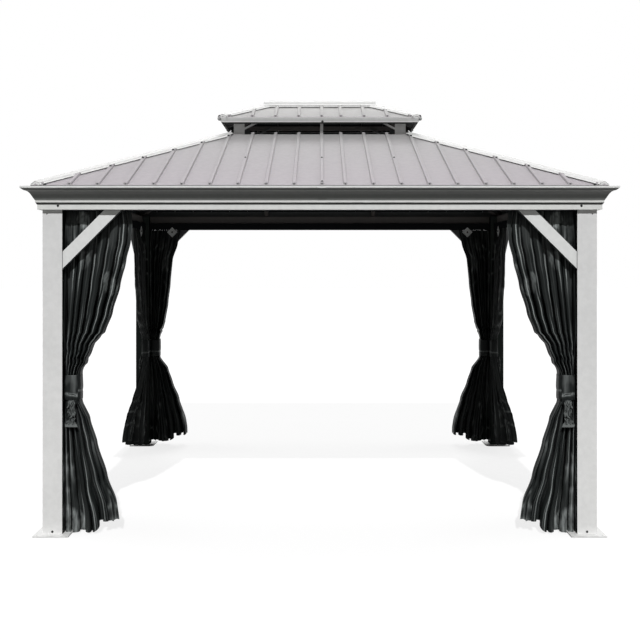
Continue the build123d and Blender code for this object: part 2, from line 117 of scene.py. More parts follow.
ambient = 0.12  # share of the white surroundings that lights the object
surroundings = bpy.data.worlds.new("paleSurroundings")
scene.world = surroundings
surroundings.use_nodes = True
sky = surroundings.node_tree
sky.nodes.clear()
level = addNode(sky, "MapRange", {"Value": seenRays(sky), "To Min": ambient, "To Max": 1.0})
glow = addNode(sky, "Background", {"Color": (1, 1, 1, 1), "Strength": level.outputs[0]})
addNode(sky, "OutputWorld", {"Surface": glow.outputs[0]})

# Pale floor: white to the eye with the object's shadow, greyer as a source of bounced light
ground = {"half": 60, "bounce": "#6e6e6c", "glow": 0.80, "shadowShare": 0.2}
bm = bmesh.new()
bmesh.ops.create_grid(bm, x_segments=2, y_segments=2, size=ground["half"])
floorMesh = bpy.data.meshes.new("paleFloor")
bm.to_mesh(floorMesh)
bm.free()
floor = bpy.data.objects.new("paleFloor", floorMesh)
scene.collection.objects.link(floor)
floorFinish = bpy.data.materials.new("paleConcreteFloor")
floorFinish.use_nodes = True
tree = floorFinish.node_tree
tree.nodes.clear()
seen = seenRays(tree)
lit = addNode(tree, "BsdfDiffuse", {"Color": [ground["shadowShare"]] * 3 + [1]})
shine = addNode(tree, "Emission", {"Color": (1, 1, 1, 1), "Strength": ground["glow"]})
pale = addNode(tree, "AddShader", {0: lit.outputs[0], 1: shine.outputs[0]})
dull = addNode(tree, "BsdfDiffuse", {"Color": linear(ground["bounce"])})
both = addNode(tree, "MixShader", {0: seen, 1: dull.outputs[0], 2: pale.outputs[0]})
addNode(tree, "OutputMaterial", {"Surface": both.outputs[0]})
floorMesh.materials.append(floorFinish)
print("camera, lights and floor made")


# Powder-coated metal: an even satin coat with a fine orange-peel skin, faint dust and soft cloudiness
coatSkin = {
    "peelSize": 0.006,  # metres; the real 1.5 mm dimples are drawn coarser so that they show
    "peelDepth": 0.0004, "peelStrength": 0.35,
    "cloudSize": 0.35, "cloudShade": 0.035, "cloudLevels": (0.3, 0.7),
    "dustSize": 0.03, "dustShade": 0.03, "dustLevels": (0.35, 0.65),
    "glossSpread": (-0.06, 0.08),
}


# dull names the faces that are left without shine
def powderCoat(name, colour, roughness=0.45, specular=0.22, dull=None):
    finish, tree, shader = newFinish(name, Metallic=0.0, IOR=1.5, Specular_IOR_Level=specular)
    place = addNode(tree, "TexCoord").outputs["Object"]
    spots, shades = {}, []
    for kind, detail in (("cloud", 3.0), ("dust", 5.0), ("peel", 1.0)):
        spots[kind] = addNode(tree, "TexNoise", {
            "Vector": place, "Scale": 1 / coatSkin[kind + "Size"], "Detail": detail,
        }).outputs["Fac"]
    for kind in ("cloud", "dust"):
        low, high = coatSkin[kind + "Levels"]
        shades.append(addNode(tree, "MapRange", {
            "Value": spots[kind], "From Min": low, "From Max": high,
            "To Min": 1 - coatSkin[kind + "Shade"], "To Max": 1 + coatSkin[kind + "Shade"],
        }).outputs[0])
    worn = addNode(tree, "Math", {0: shades[0], 1: shades[1]}, operation="MULTIPLY")
    base = colour(tree, place) if callable(colour) else linear(colour)[:3]
    tinted = addNode(tree, "VectorMath", {0: base, "Scale": worn.outputs[0]}, operation="SCALE")
    tree.links.new(tinted.outputs[0], shader.inputs["Base Color"])
    least, most = coatSkin["glossSpread"]
    gloss = addNode(tree, "MapRange", {
        "Value": spots["cloud"], "To Min": roughness + least, "To Max": roughness + most,
    })
    tree.links.new(gloss.outputs[0], shader.inputs["Roughness"])
    if dull:
        sheltered = addNode(tree, "MapRange", {"Value": dull(tree, place), "To Min": specular, "To Max": 0.0})
        tree.links.new(sheltered.outputs[0], shader.inputs["Specular IOR Level"])
    skin = addNode(tree, "Bump", {
        "Height": spots["peel"], "Strength": coatSkin["peelStrength"], "Distance": coatSkin["peelDepth"],
    })
    tree.links.new(skin.outputs[0], shader.inputs["Normal"])
    return finish


# Blends from one colour to the next as a measure passes each level
def colourSteps(tree, measure, steps):
    mixed = linear(steps[0][1])
    for level, hexColour, soft in steps[1:]:
        passed = addNode(tree, "MapRange", {
            "Value": measure, "From Min": level - soft, "From Max": level + soft,
        })
        mixed = addNode(
            tree, "Mix", {0: passed.outputs[0], 6: mixed, 7: linear(hexColour)}, data_type="RGBA",
        ).outputs[2]
    return mixed


frameColours = {
    "low": "#dadad9", "high": "#cdcdcd", "brace": "#d4d5d4", "band": "#d8d9d8",
    # the next three colours are painted shade on the faces that look into the room
    "room": "#565859", "postRoom": "#4a504e", "postSide": "#191b1b",  # towards the room
    "backWall": 0.003,  # of the gutters, on the posts' outer faces
    "inward": -0.05, "downward": -0.6, "steep": 0.55,  # how far a face is turned before it counts as such
}


# 1 where a face looks into the room, 0 elsewhere
def roomSide(tree, place):
    facing = addNode(tree, "NewGeometry").outputs["True Normal"]
    level = addNode(tree, "VectorMath", {0: place, 1: (1, 1, 0)}, operation="MULTIPLY").outputs[0]
    inward = addNode(tree, "VectorMath", {0: facing, 1: level}, operation="DOT_PRODUCT").outputs["Value"]
    return addNode(tree, "Math", {0: inward, 1: frameColours["inward"]}, operation="LESS_THAN").outputs[0]


# 1 on faces turned down past a level, 0 elsewhere
def turnedDown(tree, level):
    facing = addNode(tree, "NewGeometry").outputs["True Normal"]
    upright = addNode(tree, "SeparateXYZ", {0: facing}).outputs[2]
    return addNode(tree, "Math", {0: upright, 1: level}, operation="LESS_THAN").outputs[0]


def downSide(tree, place):
    return turnedDown(tree, frameColours["downward"])


# One colour outside, and painted shade on the faces towards the room: charcoal, or another dark colour
def paintRoomShade(tree, place, outside, room=linear(frameColours["room"])):
    both = {0: roomSide(tree, place), 6: outside, 7: room}
    return addNode(tree, "Mix", both, data_type="RGBA").outputs[2]


# one colour outside, painted shade on the faces towards the room
def shadedInside(outside):
    return lambda tree, place: paintRoomShade(tree, place, linear(outside))


def postColour(tree, place):
    # paler at the foot and greyer towards the top: painted light along the post
    height = addNode(tree, "SeparateXYZ", {0: place}).outputs[2]
    outside = colourSteps(tree, height, [(0, frameColours["low"], 0), (1.0, frameColours["high"], 1.0)])
    # faces towards the room in painted shade, darker on those that face sideways
    facing = addNode(tree, "NewGeometry").outputs["True Normal"]
    facingY = addNode(tree, "SeparateXYZ", {0: facing}).outputs[1]
    across = addNode(tree, "Math", {0: facingY}, operation="ABSOLUTE").outputs[0]
    tones = {0: across, 6: linear(frameColours["postSide"]), 7: linear(frameColours["postRoom"])}
    inside = addNode(tree, "Mix", tones, data_type="RGBA").outputs[2]
    return paintRoomShade(tree, place, outside, inside)


# The gutter's plain band, its groove in painted shade, the bead, its curve in painted shade with a paler painted
# streak and a darker painted line under the lip, and the lip, bottom to top
gutterSteps = [
    (0, "#d2d3d1", 0), (2.0238, "#080808", 0.0008), (2.0335, "#cccdcb", 0.0008),
    (2.0475, "#6f716f", 0.002), (2.082, "#808180", 0.004), (2.098, "#959695", 0.002),
    (2.1045, "#5c5d5c", 0.002), (2.1135, "#d6d7d6", 0.001),
]


def gutterColour(tree, place):
    awayX, awayY, height = addNode(tree, "SeparateXYZ", {0: place}).outputs
    outside = colourSteps(tree, height, gutterSteps)
    past = []
    for away, outer in ((awayX, post["outerX"]), (awayY, post["outerY"])):
        size = addNode(tree, "Math", {0: away}, operation="ABSOLUTE").outputs[0]
        past.append(addNode(tree, "Math", {0: size, 1: outer}, operation="SUBTRACT").outputs[0])
    out = addNode(tree, "Math", {0: past[0], 1: past[1]}, operation="MAXIMUM").outputs[0]
    # faces of the gutter that look into the room, over the posts, in painted shade
    wall = addNode(tree, "Math", {0: out, 1: frameColours["backWall"]}, operation="LESS_THAN").outputs[0]
    back = addNode(tree, "Math", {0: wall, 1: roomSide(tree, place)}, operation="MULTIPLY").outputs[0]
    both = {0: back, 6: outside, 7: linear(frameColours["room"])}
    return addNode(tree, "Mix", both, data_type="RGBA").outputs[2]


# The upper band's foot darkened as painted shadow, and the edges of its face paler as painted highlights
ventBandSteps = [
    (0, "#1f2020", 0), (2.7072, "#f6f6f5", 0.0006), (2.7125, "#d6d7d6", 0.001), (2.7345, "#fafaf9", 0.001),
]


def ventBandColour(tree, place):
    height = addNode(tree, "SeparateXYZ", {0: place}).outputs[2]
    return paintRoomShade(tree, place, colourSteps(tree, height, ventBandSteps))


# The roof's sheets: warm grey above, paler on the steep sides of the ribs as painted light, and charcoal beneath as
# painted shade
roofColours = {
    "steps": [(0, "#928d91", 0), (2.38, "#8c8b8b", 0.25), (2.80, "#9d9c9b", 0.1)],
    "side": "#b6b3b5", "under": "#232425",
}
# caps: their steep sides painted paler as painted light, and charcoal beneath as painted shade
capColours = {"top": "#b9b9b8", "side": "#d4d4d3"}


# steep faces get the paler colour as painted light, faces turned down the charcoal as painted shade
def sheetColour(tree, above, side):
    slopes = {0: turnedDown(tree, frameColours["steep"]), 6: above, 7: linear(side)}
    upper = addNode(tree, "Mix", slopes, data_type="RGBA").outputs[2]
    both = {0: turnedDown(tree, frameColours["downward"]), 6: upper, 7: linear(roofColours["under"])}
    return addNode(tree, "Mix", both, data_type="RGBA").outputs[2]


def roofColour(tree, place):
    height = addNode(tree, "SeparateXYZ", {0: place}).outputs[2]
    return sheetColour(tree, colourSteps(tree, height, roofColours["steps"]), roofColours["side"])


def capColour(tree, place):
    return sheetColour(tree, linear(capColours["top"]), capColours["side"])


finishes = {
    # extruded aluminium under a light grey powder coat: flat, even satin faces
    "post": powderCoat("powderCoatedAluminiumPost", postColour, dull=roomSide),
    "brace": powderCoat("powderCoatedAluminiumBrace", shadedInside(frameColours["brace"])),
    "gutter": powderCoat("powderCoatedAluminiumGutter", gutterColour),
    # vent posts painted paler than the rest of the frame: painted light on posts that stand in the shade of the upper
    # roof
    "vent": powderCoat("powderCoatedAluminiumVent", shadedInside("#f0f0ef"), 0.35, 0.5),  # a little glossier
    "ventBand": powderCoat("powderCoatedAluminiumVentBand", ventBandColour),
    # welded steel plate under the same coat
    "foot": powderCoat("powderCoatedSteelFoot", "#d6d6d5"),
    # steel tube, drawn in charcoal: painted shade for the inside of the frame, with a dim sheen on its upright faces
    "beam": powderCoat("powderCoatedSteelPaintedShade", "#6c6867", 0.55, 0.25, dull=downSide),
    "track": powderCoat("curtainTrackPaintedShade", "#26282b", 0.6, 0.0),  # drawn dark and without shine: painted shade
    # folded coated sheet: matt and soft
    "roof": powderCoat("coatedSteelRoofSheet", roofColour, 0.6, 0.1),
    "ribEnd": powderCoat("coatedSteelRibEnd", shadedInside("#9c989b"), 0.6, 0.1),
    "cap": powderCoat("coatedSteelRidgeCap", capColour, 0.5, 0.15),
    "plate": powderCoat("zincPlatedStopPlate", "#e0e2e2", 0.4, 0.3),  # pale plated steel
    "cover": powderCoat("mouldedCornerCover", "#7d7e7e", 0.5, 0.3),  # moulded plastic, mid grey
    "screw": powderCoat("blackCoatedSteelScrew", "#1f2021", 0.4, 0.2),  # near-black heads
}

nodeFinish = {
    "post_": "post", "foot_": "foot", "beam_": "beam", "knee_braces": "brace", "gutter_": "gutter",
    "lower_roof": "roof", "upper_roof": "roof", "lower_hip_caps": "cap", "upper_hip_caps": "cap",
    "ridge_cap": "cap", "upper_fascia": "ventBand", "vent_posts": "vent", "curtain_tracks": "track",
    "track_stop": "plate", "roof_ring": "beam", "hip_rafters": "beam", "common_rafters": "beam",
    "upper_frame": "beam",
}
for name, node in nodes.items():
    for start, finish in nodeFinish.items():
        if name.startswith(start):
            for slot in node.material_slots:
                slot.material = finishes[finish]
print("frame finishes made")


def newPiece(name, bm, finish, smooth=True):
    mesh = bpy.data.meshes.new(name)
    bm.to_mesh(mesh)
    bm.free()
    mesh.materials.append(finish)
    mesh.polygons.foreach_set("use_smooth", [smooth] * len(mesh.polygons))
    piece = bpy.data.objects.new(name, mesh)
    scene.collection.objects.link(piece)
    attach(piece, "root")
    return piece


def turnedTo(place, facing):
    return Matrix.Translation(place) @ Vector(facing).to_track_quat("Z", "Y").to_matrix().to_4x4()


# A hexagon head on a washer, as shares of the washer's radius
screwForm = {"washer": 0.3, "washerTop": 0.85, "head": 0.45, "headFoot": 0.62, "headTop": 0.55}


def addScrew(bm, place, facing, across):
    stand = turnedTo(place, facing)
    washer, head = across * screwForm["washer"], across * screwForm["head"]
    bmesh.ops.create_cone(
        bm, cap_ends=True, segments=14, radius1=across, radius2=across * screwForm["washerTop"],
        depth=washer, matrix=stand @ Matrix.Translation((0, 0, washer / 2)),
    )
    bmesh.ops.create_cone(
        bm, cap_ends=True, segments=6, radius1=across * screwForm["headFoot"],
        radius2=across * screwForm["headTop"], depth=head,
        matrix=stand @ Matrix.Translation((0, 0, washer + head / 2)),
    )


def screwPiece(name, bm):
    newPiece(name, bm, finishes["screw"], smooth=False)


# Flat faces made into thin sheet
def sheetPiece(name, bm, thickness):
    bm.normal_update()
    bmesh.ops.solidify(bm, geom=bm.faces[:], thickness=thickness)
    bmesh.ops.recalc_face_normals(bm, faces=bm.faces)
    newPiece(name, bm, finishes["cap"], smooth=False)


# Roof screws, all places in metres
roof = {
    "eaveX": 1.755, "eaveY": 1.455, "eaveZ": 2.136, "openingX": 0.670, "openingY": 0.278, "rise": 0.490,
    "ribHigh": 0.015, "ribFirst": 0.155, "ribPitch": 0.170, "joint": 0.014,
    "screw": 0.0075, "rafterRibs": (-0.495, 0.014, 0.495), "rafterRow": 0.525, "jointRow": 0.022,
}
longRun = roof["eaveY"] - roof["openingY"]
sideRun = roof["eaveX"] - roof["openingX"]
longFall, sideFall = roof["rise"] / longRun, roof["rise"] / sideRun


# Height of the ribs' tops over the sheet, on a slope with this fall
def ribTop(fall):
    return roof["ribHigh"] * math.hypot(1, fall)


bm = bmesh.new()
for sy in (-1, 1):
    up = Vector((0, sy * longFall, 1)).normalized()
    for x in roof["rafterRibs"]:
        rows = [roof["rafterRow"]] + ([roof["jointRow"]] if x == roof["joint"] else [])
        for row in rows:
            height = roof["eaveZ"] + row * longFall + ribTop(longFall)
            addScrew(bm, Vector((x, sy * (roof["eaveY"] - row), height)), up, roof["screw"])
for sx in (-1, 1):
    up = Vector((sx * sideFall, 0, 1)).normalized()
    height = roof["eaveZ"] + roof["rafterRow"] * sideFall + ribTop(sideFall)
    addScrew(bm, Vector((sx * (roof["eaveX"] - roof["rafterRow"]), 0, height)), up, roof["screw"])
# on the ribs just outside the edge of each hip cap
hipScrew = {
    "past": 0.075, "size": 0.0095, "ribs": (0.665, 0.835, 1.005, 1.175, 1.345),
    "first": 1.664, "eave": 0.008, "firstLift": 0.004,
}
hipLength = math.hypot(sideRun, longRun)
for sx, sy in corners.values():
    up = Vector((0, sy * longFall, 1)).normalized()
    for rib in hipScrew["ribs"]:
        share = (roof["eaveX"] - rib - longRun / hipLength * hipScrew["past"]) / sideRun
        y = roof["eaveY"] - share * longRun + sideRun / hipLength * hipScrew["past"]
        rib = roof["ribFirst"] + roof["ribPitch"] * round((rib - roof["ribFirst"]) / roof["ribPitch"])
        if not roof["openingY"] < y < roof["eaveY"] - hipScrew["eave"]:
            continue
        height = roof["eaveZ"] + (roof["eaveY"] - y) * longFall + ribTop(longFall)
        addScrew(bm, Vector((sx * rib, sy * y, height)), up, hipScrew["size"])
    height = roof["eaveZ"] + hipScrew["firstLift"]
    place = Vector((sx * hipScrew["first"], sy * (roof["eaveY"] - hipScrew["eave"]), height))
    addScrew(bm, place, up, hipScrew["size"])
screwPiece("roofScrews", bm)

# Small pieces that close the roof: plates in the lower ends of the ribs, strips under the edges of the caps
# that leave a thin dark gap over the sheet, and plates in the lower ends of the hip caps
closing = {
    "ribInside": 0.0216, "ribTall": 0.0150, "plate": 0.0012, "plateBevel": 0.0003, "rivet": 0.0042,
    "sideStart": 0.170, "ribHalf": 0.0125,
    "gap": 0.0065, "strip": 0.0010, "flare": 0.007, "inset": 0.001, "shortest": 0.004,
    "capHalf": 0.050, "capStart": 0.0365, "capTop": 0.04, "ridgeHalf": 0.067, "ridgePast": 0.036,
    "endInset": 0.002, "endTop": 1.04, "endFoot": 0.0005,
}
roofs = {
    "lower": {
        "eave": (roof["eaveX"], roof["eaveY"], roof["eaveZ"]), "run": (sideRun, longRun), "rise": roof["rise"],
    },
    "upper": {"eave": (0.744, 0.352, 2.741), "run": (0.352, 0.352), "rise": 0.150},
}


# Where the ribs stand along an eave: a middle one, and a row either way
def ribSpots(half, first, middle):
    count = int((half - first) / roof["ribPitch"] + 1)
    spots = [first + roof["ribPitch"] * step for step in range(count)]
    return sorted([middle] + spots + [-spot for spot in spots])


def roofRibs(eaveX, eaveY):
    return {
        1: ribSpots(eaveX, roof["ribFirst"], roof["joint"]),
        0: ribSpots(eaveY, closing["sideStart"], 0.0),
    }


plates, rivets = bmesh.new(), bmesh.new()
for shape in roofs.values():
    eaveX, eaveY, eaveZ = shape["eave"]
    for axis, spots in roofRibs(eaveX, eaveY).items():
        for side in (-1, 1):
            for spot in spots:
                outward = Vector((0, 0, 0))
                outward[axis] = side
                place = Vector((0, 0, eaveZ + closing["ribTall"] / 2))
                place[axis] = side * ((eaveX, eaveY)[axis] - closing["plate"])
                place[1 - axis] = spot
                size = Vector((closing["ribInside"], closing["ribInside"], closing["ribTall"]))
                size[axis] = closing["plate"]
                stand = Matrix.Translation(place) @ Matrix.Diagonal(size.to_4d())
                bmesh.ops.create_cube(plates, size=1.0, matrix=stand)
                addScrew(rivets, place + outward * closing["plate"] / 2, outward, closing["rivet"])
bmesh.ops.bevel(
    plates, geom=plates.edges[:], offset=closing["plateBevel"], affect="EDGES", segments=1,
    profile=0.5, material=-1,
)
newPiece("ribEndPlates", plates, finishes["ribEnd"], smooth=False)
screwPiece("ribEndRivets", rivets)

strips, ends = bmesh.new(), bmesh.new()
for shape in roofs.values():
    eaveX, eaveY, eaveZ = shape["eave"]
    runX, runY = shape["run"]
    rise = shape["rise"]
    length = math.hypot(runX, runY)
    falls = {1: rise / runY, 0: rise / runX}  # of the long slopes, then of the side slopes
    ribs = roofRibs(eaveX, eaveY)
    for sx, sy in corners.values():
        eave, run = Vector((sx * eaveX, sy * eaveY, 0)), Vector((sx * runX, sy * runY, 0))
        across = Vector((-sx * runY, sy * runX, 0)) / length
        for axis in (1, 0):
            # from the hip's line towards the edge of its cap, in plan
            aside = across if axis == 1 else -across
            marks = [closing["capStart"]]
            offset = closing["capHalf"] - closing["inset"]
            along = (runX, runY)[1 - axis]
            for rib in ribs[axis]:
                if rib * (sx, sy)[1 - axis] <= 0:
                    continue
                start = (eaveX, eaveY)[1 - axis]
                reach = (start - abs(rib) + (sx, sy)[1 - axis] * aside[1 - axis] * offset) * length / along
                width = closing["ribHalf"] * length / along
                if closing["capStart"] < reach - width and reach + width < length:
                    marks += [reach - width, reach + width]
            marks = sorted(marks) + [length - closing["capTop"]]
            for low, high in zip(marks[::2], marks[1::2]):
                if high - low < closing["shortest"]:
                    continue
                strip = []
                for reach, lifted in ((low, 0), (high, 0), (high, 1), (low, 1)):
                    at = eave - run * reach / length
                    at += aside * (offset if lifted else offset + closing["flare"])
                    sheetZ = eaveZ + ((eaveX, eaveY)[axis] - abs(at[axis])) * falls[axis]
                    at.z = sheetZ + (ribTop(falls[axis]) if lifted else closing["gap"])
                    strip.append(strips.verts.new(at))
                strips.faces.new(strip)
        # the plate in the lower end of this hip's cap
        ring = []
        for reach, lifted in ((-1, 0), (0, 0), (1, 0), (1, 1), (0, 1), (-1, 1)):
            at = eave - run * closing["capStart"] / length
            at += across * reach * (closing["capHalf"] - closing["endInset"])
            sheetZ = eaveZ + min((eaveX - abs(at.x)) * falls[0], (eaveY - abs(at.y)) * falls[1])
            at.z = sheetZ + (roof["ribHigh"] * closing["endTop"] if lifted else closing["endFoot"])
            ring.append(ends.verts.new(at))
        ends.faces.new(ring)
    if shape is roofs["upper"]:
        for sy in (-1, 1):
            spots = [spot for spot in ribs[1] if abs(spot) < eaveX - runX + closing["capTop"]]
            edges = [-(eaveX - runX) - closing["ridgePast"]]
            for spot in spots:
                edges += [spot - closing["ribHalf"], spot + closing["ribHalf"]]
            edges.append(eaveX - runX + closing["ridgePast"])
            y = sy * closing["ridgeHalf"]
            sheetZ = eaveZ + rise - closing["ridgeHalf"] * falls[1]
            foot, top = sheetZ + closing["gap"], sheetZ + ribTop(falls[1])
            for low, high in zip(edges[::2], edges[1::2]):
                strips.faces.new([
                    strips.verts.new(point)
                    for point in ((low, y, foot), (high, y, foot), (high, y, top), (low, y, top))
                ])
sheetPiece("capStrips", strips, closing["strip"])
sheetPiece("capEndPlates", ends, closing["plate"])

# Plates in the two ends of the arched ridge cap
ridgeEnd = {"x": 0.4285, "half": 0.0662, "low": 2.8785, "rise": 0.0432, "points": 17, "thick": 0.0012}
bow = (ridgeEnd["half"] ** 2 + ridgeEnd["rise"] ** 2) / (2 * ridgeEnd["rise"])
widest = math.asin(ridgeEnd["half"] / bow)
bm = bmesh.new()
for sx in (-1, 1):
    arch = []
    for step in range(ridgeEnd["points"]):
        angle = widest * (2 * step / (ridgeEnd["points"] - 1) - 1)
        height = ridgeEnd["low"] + ridgeEnd["rise"] - bow + bow * math.cos(angle)
        arch.append(bm.verts.new((sx * ridgeEnd["x"], bow * math.sin(angle), height)))
    bm.faces.new(arch)
sheetPiece("ridgeEndPlates", bm, ridgeEnd["thick"])

# Rounded covers on the corners of the upper band, and the screw at the head of the middle strut
covers = {
    "place": (0.737, 0.347, 2.729), "radius": 0.0125, "deep": 0.016, "tilt": 0.2, "bevel": 0.004,
    "strut": (0.020, 2.708), "screw": 0.009,
}
bm = bmesh.new()
for sx, sy in corners.values():
    x, y, z = covers["place"]
    bmesh.ops.create_cone(
        bm, cap_ends=True, segments=24, radius1=covers["radius"], radius2=covers["radius"],
        depth=covers["deep"], matrix=turnedTo(Vector((sx * x, sy * y, z)), (sx, sy, covers["tilt"])),
    )
bmesh.ops.bevel(
    bm, geom=[edge for edge in bm.edges if len(edge.link_faces) == 2 and edge.calc_face_angle() > 1],
    offset=covers["bevel"], affect="EDGES", segments=3, profile=0.5, material=-1,
)
newPiece("bandCornerCovers", bm, finishes["cover"])
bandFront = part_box("upper_fascia")[0][1]
bm = bmesh.new()
addScrew(bm, Vector((covers["strut"][0], bandFront, covers["strut"][1])), (0, -1, 0), covers["screw"])
screwPiece("strutHeadScrew", bm)
print("roof closures made")

# Screws in the fascia band and at the tops of the posts, and bolts low on the posts
fixings = {  # how far in from the corner, height, how far out of the post's face, and size
    "fasciaScrew": (0.102, 2.014, 0.0252, 0.0075), "postTopScrew": (0.027, 1.966, 0.0, 0.004),
    "footBolt": (0.060, 0.0225, 0.0, 0.0075),
}
bm = bmesh.new()
for sx, sy in corners.values():
    for inward, z, out, size in fixings.values():
        x, y = sx * (post["outerX"] - inward), sy * (post["outerY"] - inward)
        addScrew(bm, Vector((x, sy * (post["outerY"] + out), z)), (0, sy, 0), size)
        addScrew(bm, Vector((sx * (post["outerX"] + out), y, z)), (sx, 0, 0), size)
screwPiece("frameScrews", bm)

# A bolt in the middle of each stop plate
stopPlate = {"along": 0.209, "height": 1.966, "face": 0.094, "bolt": 0.008}
bm = bmesh.new()
for sx, sy in corners.values():
    along, face, height = stopPlate["along"] + post["side"], stopPlate["face"], stopPlate["height"]
    place = Vector((sx * (post["outerX"] - along), sy * (post["outerY"] - face), height))
    addScrew(bm, place, (0, -sy, 0), stopPlate["bolt"])
    place = Vector((sx * (post["outerX"] - face), sy * (post["outerY"] - along), height))
    addScrew(bm, place, (-sx, 0, 0), stopPlate["bolt"])
screwPiece("stopPlateBolts", bm)
print("screws made")


# Curtain cloth: polyester satin, near black, with painted highlights along the ridges of its folds that stand in for
# the sun caught by its threads
satin = {
    "base": "#232626", "deep": "#0d100f", "ridge": "#979c9b", "roughness": 0.36, "specular": 0.06,
    "glossSpread": (-0.08, 0.1), "sheen": 0.02, "sheenRoughness": 0.4, "sheenTint": "#c4c9cc",
    "thread": 0.0014,  # metres; real threads are 0.2 mm apart, drawn coarser
    "waveRate": 3.14, "threadBend": 0.4, "threadDepth": 0.00025, "threadStrength": 0.25,
    "slubLength": 0.12, "slubWidth": 0.004, "slubLevels": (0.25, 0.75), "slubShine": (0.35, 1.3),
    "creaseSize": 0.045, "creaseDepth": 0.003, "creaseStrength": 0.5,
    "hem": 0.025, "stitch": 0.0035, "stitchDepth": 0.001, "stitchStrength": 0.6,
    # the painted highlight lines along the big and the small folds
    "foldLine": (0.0, 0.027, 0.95), "smallLine": (0.0, 0.05, 0.35),  # place, half width and strength, in turns
}
flatSizes = {"panel": (1.35, 1.97), "strap": (0.45, 0.15), "tail": (0.085, 0.18)}


def satinCloth(name, size):
    finish, tree, shader = newFinish(
        name, Metallic=0.0, IOR=1.5, Specular_IOR_Level=satin["specular"],
        Sheen_Weight=satin["sheen"], Sheen_Roughness=satin["sheenRoughness"], Sheen_Tint=linear(satin["sheenTint"]),
    )
    flat = addNode(tree, "UVMap", uv_map="UVMap").outputs[0]
    real = addNode(tree, "Mapping", {"Vector": flat, "Scale": (size[0], size[1], 1)}).outputs[0]
    threads = {
        "Vector": real, "Scale": 1 / satin["thread"] / satin["waveRate"], "Distortion": satin["threadBend"],
    }
    warp = addNode(tree, "TexWave", threads, bands_direction="X")
    weft = addNode(tree, "TexWave", threads, bands_direction="Y")
    weave = addNode(tree, "Math", {0: warp.outputs["Fac"], 1: weft.outputs["Fac"]}, operation="MULTIPLY")
    stretched = addNode(tree, "Mapping", {
        "Vector": real, "Scale": (1 / satin["slubWidth"], 1 / satin["slubLength"], 1),
    }).outputs[0]
    slub = addNode(tree, "TexNoise", {"Vector": stretched, "Scale": 1.0, "Detail": 2.0})
    crease = addNode(tree, "TexNoise", {
        "Vector": real, "Scale": 1 / satin["creaseSize"], "Detail": 3.0, "Roughness": 0.55,
    })
    # distance in from the nearest side edge, for the turned hem and its row of stitches
    across, down, _ = addNode(tree, "SeparateXYZ", {0: real}).outputs
    other = addNode(tree, "Math", {0: size[0], 1: across}, operation="SUBTRACT").outputs[0]
    inside = addNode(tree, "Math", {0: across, 1: other}, operation="MINIMUM").outputs[0]
    nearest = addNode(tree, "Math", {0: inside, 1: down}, operation="MINIMUM").outputs[0]
    off = addNode(tree, "Math", {0: nearest, 1: satin["hem"]}, operation="SUBTRACT").outputs[0]
    gap = addNode(tree, "Math", {0: off}, operation="ABSOLUTE").outputs[0]
    seam = addNode(tree, "MapRange", {"Value": gap, "From Max": satin["stitch"], "To Min": 1.0, "To Max": 0.0})
    yarn = {0: slub.outputs["Fac"], 6: linear(satin["deep"]), 7: linear(satin["base"])}
    colour = addNode(tree, "Mix", yarn, data_type="RGBA").outputs[2]
    ridge = addNode(tree, "Attribute", attribute_name="ridge").outputs["Fac"]
    slubHighlight = addNode(tree, "MapRange", {
        "Value": slub.outputs["Fac"],
        "From Min": satin["slubLevels"][0], "From Max": satin["slubLevels"][1],
        "To Min": satin["slubShine"][0], "To Max": satin["slubShine"][1],
    }).outputs[0]
    # a thin painted highlight line along the crest of each fold, and a fainter one along each small fold
    pleats = addNode(tree, "Attribute", attribute_name="pleats").outputs["Vector"]
    turns, smallTurns, lit = addNode(tree, "SeparateXYZ", {0: pleats}).outputs
    quarter = 0.25  # of a turn, from the flank of a fold to its crest
    shares = []
    for measure, (crest, width, strength) in ((turns, satin["foldLine"]), (smallTurns, satin["smallLine"])):
        moved = addNode(tree, "Math", {0: measure, 1: quarter}, operation="SUBTRACT").outputs[0]
        away = addNode(tree, "Math", {0: moved, 1: quarter}, operation="PINGPONG").outputs[0]
        off = addNode(tree, "Math", {0: away, 1: crest}, operation="SUBTRACT").outputs[0]
        gap = addNode(tree, "Math", {0: off}, operation="ABSOLUTE").outputs[0]
        line = addNode(tree, "MapRange", {
            "Value": gap, "From Max": width, "To Min": strength, "To Max": 0.0,
        }, interpolation_type="SMOOTHSTEP").outputs[0]
        shares.append(addNode(tree, "Math", {0: line, 1: lit}, operation="MULTIPLY").outputs[0])
    ridge = addNode(tree, "Math", {0: ridge, 1: shares[0]}, operation="ADD").outputs[0]
    ridge = addNode(tree, "Math", {0: ridge, 1: shares[1]}, operation="ADD").outputs[0]
    # painted highlight: the lines and patches mix in the pale highlight colour, varied by the slubs
    highlightShare = addNode(tree, "Math", {0: ridge, 1: slubHighlight}, operation="MULTIPLY", use_clamp=True).outputs[0]
    paintedSunlight = {0: highlightShare, 6: colour, 7: linear(satin["ridge"])}
    colour = addNode(tree, "Mix", paintedSunlight, data_type="RGBA").outputs[2]
    tree.links.new(colour, shader.inputs["Base Color"])
    least, most = satin["glossSpread"]
    gloss = addNode(tree, "MapRange", {
        "Value": slub.outputs["Fac"],
        "To Min": satin["roughness"] + least, "To Max": satin["roughness"] + most,
    })
    tree.links.new(gloss.outputs[0], shader.inputs["Roughness"])
    broad = addNode(tree, "Bump", {
        "Height": crease.outputs["Fac"], "Strength": satin["creaseStrength"], "Distance": satin["creaseDepth"],
    })
    sewn = addNode(tree, "Bump", {
        "Height": seam.outputs[0], "Strength": satin["stitchStrength"], "Distance": satin["stitchDepth"],
        "Normal": broad.outputs[0],
    }, invert=True)
    fine = addNode(tree, "Bump", {
        "Height": weave.outputs[0], "Strength": satin["threadStrength"], "Distance": satin["threadDepth"],
        "Normal": sewn.outputs[0],
    })
    tree.links.new(fine.outputs[0], shader.inputs["Normal"])
    return finish


finishes["curtain"] = satinCloth("polyesterSatinCurtain", flatSizes["panel"])
finishes["tie"] = satinCloth("polyesterSatinTie", flatSizes["strap"])

